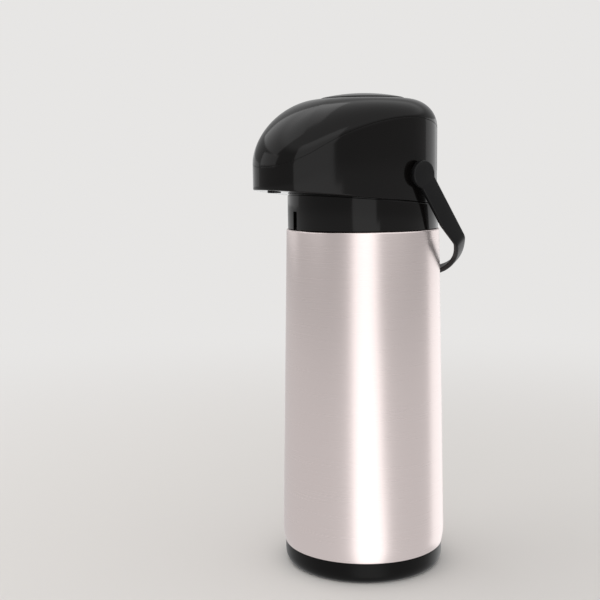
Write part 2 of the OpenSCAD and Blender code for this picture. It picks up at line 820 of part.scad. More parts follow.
// Frame of the sloped duct, a distance along it from the axis
module along_duct(start) {
    translate([0, 0, duct_z])
        rotate([90 - seam_tilt, 0, 0])
            translate([0, 0, start])
                children();
}

module riser_tube() {
    color(clear_tube)
        ring(riser_z0, riser_z1, riser_r - tube_wall, riser_r);
}

module riser_elbow() {
    color(black_soft)
        difference() {
            translate([0, 0, elbow_z0])
                cylinder(r = elbow_r, h = elbow_z1 - elbow_z0);
            translate([0, 0, elbow_z0 - cut])
                cylinder(r = riser_r + seat_gap, h = riser_z1 + seat_gap - elbow_z0 + cut);
            translate([0, 0, ball_seat_z - 2 * ball_seat_t])
                cylinder(r = ball_seat_r, h = 3 * ball_seat_t);
            translate([0, 0, ball_seat_z])
                cylinder(r = ball_chamber_r, h = ball_chamber_z1 - ball_seat_z);
            along_duct(0)
                cylinder(r = duct_bore_r, h = 2 * elbow_r);
            along_duct(duct_y0 - seat_gap)
                cylinder(r = duct_r + seat_gap, h = 2 * elbow_r);
        }
}

module tipover_ball() {
    color(zinc)
        translate([0, 0, ball_z])
            sphere(r = ball_r);
}

module spout_duct() {
    reach = nozzle_y / cos(seam_tilt);
    dome = [for (i = [0:curve_steps]) let (a = 90 * i / curve_steps)
        [socket_r * cos(a), nozzle_end_z + socket_r * sin(a)]];
    color(black_soft)
        difference() {
            union() {
                along_duct(duct_y0)
                    cylinder(r = duct_r, h = reach - duct_y0);
                translate([0, -nozzle_y, 0])
                    rotate_extrude()
                        polygon(concat([[0, socket_z0], [socket_r, socket_z0]], dome));
            }
            along_duct(duct_y0 - cut)
                cylinder(r = duct_bore_r, h = reach - duct_y0 + cut);
            translate([0, -nozzle_y, socket_z0 - cut])
                cylinder(r = nozzle_r + seat_gap, h = nozzle_end_z - socket_z0 + cut);
        }
}

module nozzle() {
    color(black_soft)
        difference() {
            union() {
                translate([0, -nozzle_y, nozzle_z0])
                    cylinder(r = nozzle_r, h = nozzle_end_z - nozzle_z0 - seat_gap);
                translate([0, -nozzle_y, nozzle_flange_z])
                    cylinder(r = nozzle_flange_r, h = nozzle_flange_t);
            }
            translate([0, -nozzle_y, nozzle_z0 - cut])
                cylinder(r = nozzle_r - tube_wall, h = nozzle_end_z - nozzle_z0 + 2 * cut);
        }
}

// Middle line of the bail's strip, moved out by off: arm, corner, bowed grip, corner, arm
function bail_half(off) =
    let (grip_q = bail_l - bail_t / 2, cx = arm_x - bail_corner_r, drop = arm_l - grip_q,
        bow = (pow(bail_corner_r, 2) - cx * cx - drop * drop) / (2 * (drop + bail_corner_r)),
        bow_q = grip_q - bow, meet = atan2(arm_l - bow_q, cx))
    concat(
        [[arm_x + off, 0]],
        [for (i = [0:curve_steps]) let (a = meet * i / curve_steps)
            [cx + (bail_corner_r + off) * cos(a), arm_l + (bail_corner_r + off) * sin(a)]],
        [for (i = [1:curve_steps]) let (a = meet + (90 - meet) * i / curve_steps)
            [(bow + off) * cos(a), bow_q + (bow + off) * sin(a)]]);

function bail_line(off) =
    let (half = bail_half(off))
    concat(half, [for (i = [len(half) - 2:-1:0]) [-half[i].x, half[i].y]]);

module bail_handle() {
    color(black_soft)
        translate([0, pivot_y, pivot_z])
            rotate([bail_rest - 90, 0, 0]) {
                difference() {
                    translate([0, 0, -bail_w / 2])
                        linear_extrude(bail_w)
                            polygon(concat(bail_line(bail_t / 2), reverse(bail_line(-bail_t / 2))));
                    rotate([0, 90, 0])
                        linear_extrude(tall, center = true)
                            polygon([[bail_w, taper_q0], [bail_w / 2, taper_q0], [-grip_n0, taper_q1],
                                [-grip_n0, tall], [bail_w, tall]]);
                }
                for (side = [-1, 1])
                    rotate([0, 90 * side, 0]) {
                        translate([0, 0, arm_x - bail_t / 2])
                            cylinder(r = bail_end_r, h = bail_t);
                        translate([0, 0, peg_in_x])
                            cylinder(r = peg_r, h = arm_x - peg_in_x);
                    }
            }
}

module bail_retainers() {
    color(zinc)
        translate([0, pivot_y, pivot_z])
            for (side = [-1, 1])
                rotate([0, 90 * side, 0])
                    translate([0, 0, retainer_x - retainer_t])
                        difference() {
                            cylinder(r = retainer_r, h = retainer_t);
                            translate([0, 0, -cut])
                                cylinder(r = peg_r + run_gap / 2, h = retainer_t + 2 * cut);
                        }
}

module pump_screws() {
    color(zinc)
        at_pump_screws()
            screw(flange_z + flange_t + seat_gap, flange_t + web_t);
}

module head_screws() {
    color(zinc)
        for (a = head_screw_angles)
            rotate([0, 0, a])
                translate([head_screw_r, 0, 0])
                    screw(floor_at(head_screw_r * sin(a)) + screw_head_r * tan(seam_tilt) + seat_gap,
                        head_screw_l);
}

module cylinder_screws() {
    color(zinc)
        at_cylinder_screws()
            screw(cylinder_z0 + cylinder_flange_t + seat_gap, cylinder_flange_t + plate_t);
}

base_ring();
base_cap();
liner_cushion();
steel_shell();
neck_ring();
neck_gasket();
flask_outer();
flask_inner();
flask_neck();
mouth_seal();
collar();
head_shell();
top_cover();
pump_base();
bellows_plate();
pump_cylinder();
bellows();
return_spring();
bellows_cap();
vent_plug();
press_button();
riser_tube();
riser_elbow();
tipover_ball();
spout_duct();
nozzle();
bail_handle();
bail_retainers();
pump_screws();
head_screws();
cylinder_screws();
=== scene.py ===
"""Looks of the thermal coffee airpot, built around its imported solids: metres, +Z up, spout towards -Y."""

import json
import math

import bmesh
import bpy
from mathutils import Matrix, Vector


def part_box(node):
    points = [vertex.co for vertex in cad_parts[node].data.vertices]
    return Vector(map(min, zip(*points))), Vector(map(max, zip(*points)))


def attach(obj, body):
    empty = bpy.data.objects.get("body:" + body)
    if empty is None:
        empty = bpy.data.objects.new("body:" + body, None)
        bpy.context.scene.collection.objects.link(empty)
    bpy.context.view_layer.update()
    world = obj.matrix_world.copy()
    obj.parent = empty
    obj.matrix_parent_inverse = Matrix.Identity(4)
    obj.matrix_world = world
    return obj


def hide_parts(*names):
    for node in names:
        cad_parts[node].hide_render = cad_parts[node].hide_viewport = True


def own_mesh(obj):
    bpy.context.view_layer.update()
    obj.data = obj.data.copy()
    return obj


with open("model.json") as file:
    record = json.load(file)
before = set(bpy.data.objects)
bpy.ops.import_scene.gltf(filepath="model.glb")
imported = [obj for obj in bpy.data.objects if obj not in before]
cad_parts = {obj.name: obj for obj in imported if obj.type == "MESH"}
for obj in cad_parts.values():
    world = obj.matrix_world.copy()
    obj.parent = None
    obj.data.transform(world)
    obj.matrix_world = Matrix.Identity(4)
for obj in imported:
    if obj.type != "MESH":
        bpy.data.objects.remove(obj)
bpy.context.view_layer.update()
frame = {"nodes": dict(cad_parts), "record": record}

MM = 0.001
SEGMENTS = 192
SMALL_SEGMENTS = 96
STEEL_SEGMENTS = 256
OUTLINE_POINTS = 288
SHARP_ANGLE = math.radians(32)

# Camera: where it stands round the body from the spout's side, and how it is aimed
CAMERA_ROUND = math.radians(40)
CAMERA_DISTANCE = 0.85416
CAMERA_HEIGHT = 0.31668
CAMERA_YAW = math.radians(-3.35)
CAMERA_PITCH = math.radians(7.05)
CAMERA_ROLL = math.radians(-0.53)
SENSOR = 36.0
LENS = 64.86

# Levels and radii of the body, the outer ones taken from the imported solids
STEEL_Z0, STEEL_Z1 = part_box("steel_shell")[0].z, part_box("steel_shell")[1].z
STEEL_LOW_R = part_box("steel_shell")[1].x
STEEL_TOP_R = 60 * MM
STEEL_TUCK = 1.6 * MM
STEEL_TUCK_H = 13 * MM
STEEL_WALL = 0.6 * MM
STEEL_LIP_R = 52.6 * MM
COLLAR_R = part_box("collar")[1].x
COLLAR_Z0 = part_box("collar")[0].z
BASE_R = 63 * MM
FOOT_R = 57.5 * MM
SEAT_GAP = 0.1 * MM

# Round bottom and shoulder of the flask
FLASK_DOME = 26 * MM
FLASK_SHOULDER = 24 * MM

# Sloped seam between collar and head
SEAM_Z = STEEL_Z1 + 22 * MM
SEAM_TILT = math.radians(5.7)
SEAM_GROOVE = 0.6 * MM

# Notch in the collar's foot, a little round from the spout
NOTCH_W, NOTCH_H = 6 * MM, 14 * MM
NOTCH_ANGLE = math.radians(-101)
CUT_PAST = 1 * MM

# Plan outline of the head: round back, flank arcs and round nose
HEAD_R = 57.9 * MM
NOSE_C = 60.4 * MM
NOSE_R = 36 * MM
FLANK_R = (NOSE_C**2 + HEAD_R**2 - NOSE_R**2) / (2 * (HEAD_R - NOSE_R))
NOSE_ANGLE = math.atan2(FLANK_R - HEAD_R, NOSE_C)
HEAD_WALL = 2.5 * MM
FLOOR_BORE_R = 49.7 * MM

# Arched parting line, roof and button
BROW_IN = 24 * MM
BROW_Y = NOSE_C + NOSE_R - BROW_IN
ARCH_H, BROW_H, TIP_H = 84 * MM, 60.8 * MM, 48.3 * MM
BROW_Z, TIP_Z = STEEL_Z1 + BROW_H, STEEL_Z1 + TIP_H
ARCH_DROP = ARCH_H - BROW_H
ARCH_R = (BROW_Y**2 + ARCH_DROP**2) / (2 * ARCH_DROP)
ARCH_Z = STEEL_Z1 + ARCH_H - ARCH_R
TIP_SLOPE = 0.4
BROW_FALL, TIP_FALL = BROW_IN * BROW_Y / (ARCH_R - ARCH_DROP), BROW_IN * TIP_SLOPE
ROOF_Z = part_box("top_cover")[1].z
ROOF_GAP = 0.12 * MM
ROOF_WALL = 2.4 * MM
ROOF_FRONT, ROOF_BACK = 1.75, 2.1
ROOF_RINGS = 28
LIP_H = 4 * MM
LIP_IN = 2.8 * MM
LIP_WALL = 1.6 * MM
BUTTON_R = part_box("press_button")[1].x
BUTTON_GAP = 0.8 * MM
OPEN_R = BUTTON_R + BUTTON_GAP
BUTTON_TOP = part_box("press_button")[1].z
BUTTON_SKIRT_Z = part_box("press_button")[0].z
BUTTON_RIM = 1 * MM

# Bail
PIVOT = Vector((0, 6 * MM, STEEL_Z1 + 42 * MM))
BAIL_REST = math.radians(35.549)
BAIL_END_R = 10.4 * MM
BAIL_T = 4.2 * MM
BAIL_W = 15 * MM
GRIP_W = 9 * MM
ARM_L = 61 * MM
BAIL_L = 101.5 * MM
BAIL_CORNER_R = 8 * MM
BAIL_EDGE = 1.5 * MM
TAPER_L = 18 * MM
HUB_R = 8.5 * MM
ARM_INSET = 0.05 * MM
MOVE_GAP = 0.35 * MM
ARM_X = STEEL_LOW_R - ARM_INSET - BAIL_T / 2
HUB_X = ARM_X - BAIL_T / 2 - MOVE_GAP
PEG_R = 4 * MM
PEG_IN_X = 46 * MM

# Nozzle
NOZZLE_IN = 11.4 * MM
NOZZLE_Y = NOSE_C + NOSE_R - NOZZLE_IN
NOZZLE_R = 5 * MM
NOZZLE_WALL = 1.5 * MM


# Meshes

def finish_mesh(name, vertices, faces):
    """Object of these vertices and faces, welded, facing out and smooth up to SHARP_ANGLE."""
    mesh = bpy.data.meshes.new(name)
    mesh.from_pydata([tuple(v) for v in vertices], [], faces)
    work = bmesh.new()
    work.from_mesh(mesh)
    bmesh.ops.remove_doubles(work, verts=work.verts, dist=1e-7)
    bmesh.ops.dissolve_degenerate(work, edges=work.edges, dist=1e-7)
    bmesh.ops.recalc_face_normals(work, faces=work.faces)
    work.to_mesh(mesh)
    work.free()
    mesh.shade_smooth()
    mesh.set_sharp_from_angle(angle=SHARP_ANGLE)
    piece = bpy.data.objects.new(name, mesh)
    bpy.context.scene.collection.objects.link(piece)
    return piece


def loft(name, rings, closed=True):
    """Skin over rings of equal point counts.

    Closed, the last ring joins the first; otherwise both ends are capped.
    """
    count = len(rings[0])
    faces = []
    for i in range(len(rings) if closed else len(rings) - 1):
        a, b = i * count, (i + 1) % len(rings) * count
        faces += [(a + j, a + (j + 1) % count, b + (j + 1) % count, b + j) for j in range(count)]
    if not closed:
        faces.append(tuple(range(count)))
        faces.append(tuple((len(rings) - 1) * count + j for j in range(count)))
    return finish_mesh(name, [p for ring in rings for p in ring], faces)


def rounded(corners, steps=6):
    """Closed outline of (a, b, radius) corners, with an arc of that radius at each.

    An arc is made smaller where a side beside it is too short for it.
    """
    points = []
    for i, (a, b, radius) in enumerate(corners):
        here = Vector((a, b))
        back = Vector(corners[i - 1][:2]) - here
        ahead = Vector(corners[(i + 1) % len(corners)][:2]) - here
        if radius <= 0:
            points.append(here)
            continue
        half = back.angle(ahead) / 2
        reach = min(radius / math.tan(half), 0.49 * back.length, 0.49 * ahead.length)
        radius = reach * math.tan(half)
        back, ahead = back.normalized(), ahead.normalized()
        centre = here + (back + ahead).normalized() * radius / math.sin(half)
        start, end = here + back * reach - centre, here + ahead * reach - centre
        turn = start.angle_signed(end)
        for k in range(steps + 1):
            points.append(centre + Matrix.Rotation(-turn * k / steps, 2) @ start)
    return points


def lathe(name, profile, segments=SEGMENTS, shear=None):
    """Turned solid of a closed (radius, height) profile; shear(y, z) lifts a point."""
    rings = []
    for radius, height in profile:
        ring = []
        for j in range(segments):
            a = 2 * math.pi * j / segments
            x, y = max(radius, 0) * math.cos(a), max(radius, 0) * math.sin(a)
            ring.append(Vector((x, y, height + (shear(y, height) if shear else 0))))
        rings.append(ring)
    return loft(name, rings)


def cut_away(piece, cutter):
    """Takes the cutter's volume out of the piece and removes the cutter."""
    cut = piece.modifiers.new("cut", "BOOLEAN")
    cut.object, cut.solver = cutter, "EXACT"
    bpy.context.view_layer.objects.active = piece
    bpy.ops.object.modifier_apply(modifier=cut.name)
    bpy.data.objects.remove(cutter)
    piece.data.set_sharp_from_angle(angle=SHARP_ANGLE)


def put(piece, body, slot, material, *nodes):
    """Gives a piece its material, lets it ride on a body and stand for CAD nodes; slot is not used."""
    piece.data.materials.clear()
    piece.data.materials.append(material)
    if nodes:
        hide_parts(*nodes)
    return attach(piece, body)


# Materials

def new_material(name):
    """Node material with its nodes and links."""
    material = bpy.data.materials.new(name)
    material.use_nodes = True
    return material, material.node_tree.nodes, material.node_tree.links


def noise_field(nodes, links, scale, stretch=(1, 1, 1), detail=3.0):
    """Noise over the piece's own coordinates, stretched along an axis."""
    place = nodes.new("ShaderNodeTexCoord")
    mapping = nodes.new("ShaderNodeMapping")
    mapping.inputs["Scale"].default_value = stretch
    noise = nodes.new("ShaderNodeTexNoise")
    noise.inputs["Scale"].default_value = scale
    noise.inputs["Detail"].default_value = detail
    links.new(place.outputs["Object"], mapping.inputs["Vector"])
    links.new(mapping.outputs["Vector"], noise.inputs["Vector"])
    return noise.outputs["Fac"]


def spread(nodes, links, field, low, high):
    """Maps the middle of a noise field's values, 0.3 to 0.7, to low .. high."""
    ramp = nodes.new("ShaderNodeMapRange")
    ramp.inputs["From Min"].default_value = 0.3
    ramp.inputs["From Max"].default_value = 0.7
    ramp.inputs["To Min"].default_value = low
    ramp.inputs["To Max"].default_value = high
    links.new(field, ramp.inputs["Value"])
    return ramp.outputs["Result"]


def bump(nodes, links, field, depth, shader):
    """Relief of this depth on the shader's surface, after a field."""
    node = nodes.new("ShaderNodeBump")
    node.inputs["Distance"].default_value = depth
    node.inputs["Strength"].default_value = 1.0
    links.new(field, node.inputs["Height"])
    links.new(node.outputs["Normal"], shader.inputs["Normal"])


def tinted(nodes, links, field, dark, light):
    """Colour between dark and light, after a field."""
    mix = nodes.new("ShaderNodeMix")
    mix.data_type = "RGBA"
    mix.inputs["A"].default_value = (*dark, 1)
    mix.inputs["B"].default_value = (*light, 1)
    links.new(field, mix.inputs["Factor"])
    return mix.outputs["Result"]


def plastic(name, dark, light, rough, grain_scale, grain_depth, specular):
    """Moulded plastic: slight tone and gloss variation, and a fine mould grain."""
    material, nodes, links = new_material(name)
    shader = nodes["Principled BSDF"]
    shader.inputs["Specular IOR Level"].default_value = specular
    broad = noise_field(nodes, links, 18.0)
    links.new(tinted(nodes, links, broad, dark, light), shader.inputs["Base Color"])
    links.new(spread(nodes, links, broad, rough[0], rough[1]), shader.inputs["Roughness"])
    bump(nodes, links, noise_field(nodes, links, grain_scale, detail=2.0), grain_depth, shader)
    return material


def steel(name):
    """Satin stainless steel, brushed round the body; its warm pink tint is a painted reflection of a warm
    room.
    """
    material, nodes, links = new_material(name)
    shader = nodes["Principled BSDF"]
    shader.inputs["Metallic"].default_value = 1.0
    shader.inputs["Anisotropic"].default_value = 0.35
    lines = noise_field(nodes, links, 9.0, stretch=(1.2, 1.2, 260.0), detail=5.0)
    # Warm pink base colour: a painted reflection of a warm room's light. The slight variation along the
    # brush lines is the steel's own tone.
    tone = tinted(nodes, links, lines, (0.806, 0.712, 0.696), (0.814, 0.718, 0.702))
    links.new(tone, shader.inputs["Base Color"])
    links.new(spread(nodes, links, lines, 0.272, 0.288), shader.inputs["Roughness"])
    bump(nodes, links, lines, 0.0000003, shader)
    return material


def plated(name):
    """Zinc-plated hardware with a faint uneven sheen."""
    material, nodes, links = new_material(name)
    shader = nodes["Principled BSDF"]
    shader.inputs["Metallic"].default_value = 1.0
    field = noise_field(nodes, links, 260.0)
    tone = tinted(nodes, links, field, (0.50, 0.50, 0.52), (0.62, 0.62, 0.63))
    links.new(tone, shader.inputs["Base Color"])
    links.new(spread(nodes, links, field, 0.22, 0.38), shader.inputs["Roughness"])
    return material


def silvered_glass(name):
    """Glass with a silvered back, slightly rippled."""
    material, nodes, links = new_material(name)
    shader = nodes["Principled BSDF"]
    shader.inputs["Metallic"].default_value = 0.85
    shader.inputs["Coat Weight"].default_value = 1.0
    shader.inputs["Coat Roughness"].default_value = 0.03
    field = noise_field(nodes, links, 30.0)
    tone = tinted(nodes, links, field, (0.66, 0.70, 0.71), (0.78, 0.81, 0.82))
    links.new(tone, shader.inputs["Base Color"])
    links.new(spread(nodes, links, field, 0.05, 0.12), shader.inputs["Roughness"])
    return material


def rubber(name):
    """Dark grey rubber with a dull, uneven surface."""
    material, nodes, links = new_material(name)
    shader = nodes["Principled BSDF"]
    shader.inputs["Specular IOR Level"].default_value = 0.3
    field = noise_field(nodes, links, 70.0)
    tone = tinted(nodes, links, field, (0.06, 0.06, 0.062), (0.10, 0.10, 0.10))
    links.new(tone, shader.inputs["Base Color"])
    links.new(spread(nodes, links, field, 0.55, 0.75), shader.inputs["Roughness"])
    bump(nodes, links, noise_field(nodes, links, 1400.0), 0.00003, shader)
    return material


GLOSS = plastic("black_gloss", (0.0024, 0.0021, 0.0020), (0.0032, 0.0028, 0.0027), rough=(0.09, 0.13),
                grain_scale=900.0, grain_depth=0.000002, specular=0.2)
SATIN = plastic("black_satin", (0.0036, 0.0036, 0.0038), (0.0058, 0.0058, 0.0061), rough=(0.30, 0.38),
                grain_scale=2200.0, grain_depth=0.00001, specular=0.17)
MATT = plastic("black_matt", (0.0018, 0.0016, 0.0015), (0.0026, 0.0023, 0.0022), rough=(0.28, 0.34),
               grain_scale=1400.0, grain_depth=0.000004, specular=0.13)
TUBE = plastic("tube_plastic", (0.78, 0.80, 0.80), (0.84, 0.86, 0.86), rough=(0.16, 0.24),
               grain_scale=500.0, grain_depth=0.00001, specular=0.5)
STEEL = steel("steel")
HARDWARE = plated("hardware")
GLASS = silvered_glass("flask_glass")
RUBBER = rubber("rubber")


# Shapes shared by the head's pieces

def outline(inset):
    """Plan outline of the head, drawn in by inset, at even angles of its normal from the spout."""
    points = []
    for j in range(OUTLINE_POINTS):
        turn = 2 * math.pi * j / OUTLINE_POINTS
        a = min(turn, 2 * math.pi - turn)
        side = 1 if turn <= math.pi else -1
        if a <= NOSE_ANGLE:
            x, y = (NOSE_R - inset) * math.sin(a), -NOSE_C - (NOSE_R - inset) * math.cos(a)
        elif a <= math.pi / 2:
            x, y = HEAD_R - FLANK_R + (FLANK_R - inset) * math.sin(a), -(FLANK_R - inset) * math.cos(a)
        else:
            x, y = (HEAD_R - inset) * math.sin(a), -(HEAD_R - inset) * math.cos(a)
        points.append(Vector((side * x, y)))
    return points


def circle_like(outline_points, radius):
    """Points of a circle in the same directions as an outline's points."""
    return [p.normalized() * radius for p in outline_points]


def seam_at(y):
    """Height of the sloped seam under the head."""
    return SEAM_Z - y * math.tan(SEAM_TILT)


def arch_at(y):
    """Height of the parting line under the cover: an arch that levels out towards the nose's tip."""
    if y > -BROW_Y:
        return ARCH_Z + math.sqrt(ARCH_R**2 - y**2)
    t = (-y - BROW_Y) / BROW_IN
    level = BROW_Z - (BROW_Z - TIP_Z) * t * t * (3 - 2 * t)
    return level - BROW_FALL * t * (1 - t) ** 2 + TIP_FALL * t * t * (1 - t)


def quarter(steps=5):
    """(sine, cosine) pairs over a quarter turn."""
    angles = [math.pi / 2 * k / steps for k in range(steps + 1)]
    return [(math.sin(a), math.cos(a)) for a in angles]


# Pieces of the vessel

def make_steel():
    """Thin tapered shell with a turned-in foot and a lip round its top."""
    top_edge, foot_edge, steps = 1.2 * MM, 0.25 * MM, 12
    tuck = [(STEEL_LOW_R - STEEL_TUCK * (1 - k / steps) ** 2, STEEL_Z0 + STEEL_TUCK_H * k / steps)
            for k in range(steps + 1)]
    outside = [(r, z, foot_edge if k == 0 else 0) for k, (r, z) in enumerate(tuck)]
    outside += [(STEEL_TOP_R, STEEL_Z1, top_edge), (STEEL_LIP_R, STEEL_Z1, foot_edge)]
    inside = [(STEEL_LIP_R, STEEL_Z1 - STEEL_WALL, 0),
              (STEEL_TOP_R - STEEL_WALL, STEEL_Z1 - STEEL_WALL, top_edge / 2)]
    inside += [(r - STEEL_WALL, z, 0) for r, z in reversed(tuck)]
    shell = lathe("steel_body", rounded(outside + inside), segments=STEEL_SEGMENTS)
    put(shell, "vessel", "steel", STEEL, "steel_shell")


def make_base():
    """Black ring with a rounded edge, a recess for its cap and a spigot inside the steel."""
    recess_r, ledge_r, spigot_r = 53.3 * MM, 50 * MM, 62.2 * MM
    ledge_z, ledge_t, spigot_top = 4.8 * MM, 3 * MM, STEEL_Z0 + 9 * MM
    round_h, wall = 9 * MM, 3 * MM
    foot = [(BASE_R - (BASE_R - FOOT_R) * (1 - s), round_h * (1 - c), 0) for s, c in quarter(10)]
    profile = [(ledge_r, ledge_z, 0), (recess_r, ledge_z, 0), (recess_r, 0, 0.4 * MM), *foot,
               (BASE_R, STEEL_Z0 - SEAT_GAP, 0.35 * MM), (spigot_r, STEEL_Z0 - SEAT_GAP, 0),
               (spigot_r, spigot_top, 0.4 * MM), (spigot_r - wall, spigot_top, 0.4 * MM),
               (spigot_r - wall, ledge_z + ledge_t, 0), (ledge_r, ledge_z + ledge_t, 0)]
    put(lathe("base", rounded(profile)), "vessel", "black_gloss", MATT, "base_ring")


def bottle(radius, z0, neck, shoulder_z, top, steps=14):
    """Half profile of a bottle from the middle of its bottom to its lip."""
    side = [(radius * s, z0 + FLASK_DOME * (1 - c)) for s, c in quarter(steps)]
    for k in range(steps + 1):
        u = k / steps
        r = radius + (neck - radius) * (1 - math.cos(math.pi * u)) / 2
        side.append((r, shoulder_z - FLASK_SHOULDER * (1 - u)))
    return side + [(neck, top)]


def make_flask():
    """Two glass walls, the inner one with the lip that joins them."""
    glass, gap, lip_t = 1.6 * MM, 2.2 * MM, 2 * MM
    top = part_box("flask_neck")[1].z
    z0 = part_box("flask_outer")[0].z
    radius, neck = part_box("flask_outer")[1].x, 33 * MM
    shoulder_z = top - 26 * MM
    rim = top - lip_t
    fused_lip = [(neck, rim, 0), (neck, top, 0.8 * MM)]
    shells = [("flask_outer_wall", 0, rim, [], ["flask_outer"]),
              ("flask_inner_wall", glass + gap, top, fused_lip, ["flask_inner", "flask_neck"])]
    for name, inset, inner_top, lip, nodes in shells:
        outer = bottle(radius - inset, z0 + inset, neck - inset, shoulder_z, rim)
        inner = bottle(radius - inset - glass, z0 + inset + glass, neck - inset - glass,
                       shoulder_z, inner_top)
        profile = [(r, z, 0) for r, z in outer] + lip + [(r, z, 0) for r, z in reversed(inner)]
        put(lathe(name, rounded(profile)), "vessel", "flask_glass", GLASS, *nodes)


def make_neck_ring():
    """Ring in the steel's top, its spigot cut with a screw groove."""
    ring_top, ring_t = STEEL_Z1 - STEEL_WALL - SEAT_GAP, 3.2 * MM
    flange_r, thread_r, thread_wall = 58.8 * MM, 52 * MM, 3 * MM
    bore_r, sleeve_wall, sleeve_h = 36 * MM, 2.4 * MM, 14 * MM
    spigot_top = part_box("neck_ring")[1].z
    pitch, depth, rows = 2.6 * MM, 0.9 * MM, 44
    edge, top_edge, plain = 0.4 * MM, 0.5 * MM, 1.2 * MM
    corners = [(bore_r, ring_top - sleeve_h, edge), (bore_r + sleeve_wall, ring_top - sleeve_h, edge),
               (bore_r + sleeve_wall, ring_top - ring_t, 0), (flange_r, ring_top - ring_t, edge),
               (flange_r, ring_top, edge), (thread_r, ring_top, 0)]
    start, end = ring_top + plain, spigot_top - plain
    threads = [(thread_r, start + (end - start) * k / rows, 0) for k in range(rows + 1)]
    close = [(thread_r, spigot_top, top_edge), (thread_r - thread_wall, spigot_top, top_edge),
             (thread_r - thread_wall, ring_top, 0), (bore_r, ring_top, edge)]
    rings = []
    for radius, height in rounded(corners + threads + close):
        ring = []
        for j in range(SEGMENTS):
            a = 2 * math.pi * j / SEGMENTS
            inside = start - MM / 2 < height < end + MM / 2 and abs(radius - thread_r) < MM / 10
            fade = min(1, (height - start) / pitch, (end - height) / pitch) if inside else 0
            wave = 0.5 + 0.5 * math.cos(2 * math.pi * (height / pitch - j / SEGMENTS))
            r = radius - depth * max(fade, 0) * wave**2
            ring.append(Vector((r * math.cos(a), r * math.sin(a), height)))
        rings.append(ring)
    put(loft("neck_collar", rings), "vessel", "black_satin", SATIN, "neck_ring")


def ring_size(node):
    """Lower end, upper end and outer radius of a turned CAD node."""
    lo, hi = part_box(node)
    return lo.z, hi.z, hi.x


def make_mouth_seal():
    """Flat ring with a shallow groove in its underside."""
    z0, z1, out_r = ring_size("mouth_seal")
    in_r, edge, depth = 28.6 * MM, 0.7 * MM, 0.5 * MM
    middle, half_mouth, half_floor = (in_r + out_r) / 2, 2 * MM, 1.4 * MM
    profile = [(in_r, z0, edge), (middle - half_mouth, z0, 0), (middle - half_floor, z0 + depth, 0),
               (middle + half_floor, z0 + depth, 0), (middle + half_mouth, z0, 0), (out_r, z0, edge),
               (out_r, z1, edge), (in_r, z1, edge)]
    put(lathe("mouth_seal_ring", rounded(profile)), "seal", "rubber", RUBBER, "mouth_seal")


def make_neck_gasket():
    """Sleeve with grooves round its outside."""
    z0, z1, out_r = ring_size("neck_gasket")
    in_r, edge, grooves, depth, half_mouth = 33.1 * MM, 0.5 * MM, 4, 0.5 * MM, 0.15
    step = (z1 - z0) / grooves
    profile = [(in_r, z0, edge), (out_r, z0, edge)]
    for k in range(grooves):
        middle = k + 0.5
        profile += [(out_r, z0 + step * (middle - half_mouth), 0), (out_r - depth, z0 + step * middle, 0),
                    (out_r, z0 + step * (middle + half_mouth), 0)]
    profile += [(out_r, z1, edge), (in_r, z1, edge)]
    put(lathe("neck_gasket_sleeve", rounded(profile)), "vessel", "rubber", RUBBER, "neck_gasket")


def make_cushion():
    """Cushion hollowed to the round bottom of the flask."""
    z0, z1, out_r = ring_size("liner_cushion")
    flask_r, edge, steps = 56.8 * MM, 1.5 * MM, 14

    def rise(r):
        return FLASK_DOME * (1 - math.sqrt(1 - (r / flask_r) ** 2))
    bottom = z1 - rise(30 * MM)
    bowl = [(out_r * k / steps, bottom + rise(out_r * k / steps), 0) for k in range(steps, -1, -1)]
    cushion = lathe("flask_cushion", rounded([(0, z0, 0), (out_r, z0, edge), *bowl]))
    put(cushion, "vessel", "rubber", RUBBER, "liner_cushion")


# Pieces of the head

def make_collar():
    """Skirt with a threaded sleeve inside, a sloped top edge and the notch in its foot."""
    inner_r = COLLAR_R - 2 * MM
    top = SEAM_Z - SEAM_GROOVE
    step = 1 * MM
    web_z, web_t, bore_r, sleeve_r = STEEL_Z1 + 9 * MM, 2.6 * MM, 44 * MM, 52.35 * MM
    sleeve_wall, locate_r = 2 * MM, 54 * MM
    profile = [(COLLAR_R, COLLAR_Z0, 0.6 * MM), (COLLAR_R, top, 0.5 * MM), (COLLAR_R - step, top, 0),
               (COLLAR_R - step, SEAM_Z - SEAT_GAP, 0), (locate_r, SEAM_Z - SEAT_GAP, 0.3 * MM),
               (locate_r, web_z + web_t, 0), (bore_r, web_z + web_t, 0), (bore_r, web_z, 0),
               (sleeve_r, web_z, 0), (sleeve_r, COLLAR_Z0 + step, 0.3 * MM),
               (sleeve_r + sleeve_wall, COLLAR_Z0 + step, 0.3 * MM), (sleeve_r + sleeve_wall, web_z, 0),
               (inner_r, web_z, 0), (inner_r, COLLAR_Z0, 0.3 * MM)]
    low = web_z + web_t

    def shear(y, z):
        return -y * math.tan(SEAM_TILT) * max(0, min(1, (z - low) / (top - low)))
    skirt = lathe("collar_skirt", rounded(profile), shear=shear)
    cut_away(skirt, notch_block(inner_r - CUT_PAST, COLLAR_R + CUT_PAST))
    put(skirt, "head", "black_gloss", GLOSS, "collar")


def notch_block(near, far):
    """Block that cuts the notch between two radii."""
    low, high = COLLAR_Z0 - CUT_PAST, COLLAR_Z0 + NOTCH_H
    ring = [(near, -NOTCH_W / 2), (far, -NOTCH_W / 2), (far, NOTCH_W / 2), (near, NOTCH_W / 2)]
    sides = [(k, (k + 1) % 4, (k + 1) % 4 + 4, k + 4) for k in range(4)]
    block = finish_mesh("cut", [Vector((x, y, z)) for z in (low, high) for x, y in ring],
                        [(3, 2, 1, 0), (4, 5, 6, 7), *sides])
    block.data.transform(Matrix.Rotation(NOTCH_ANGLE, 4, "Z"))
    return block


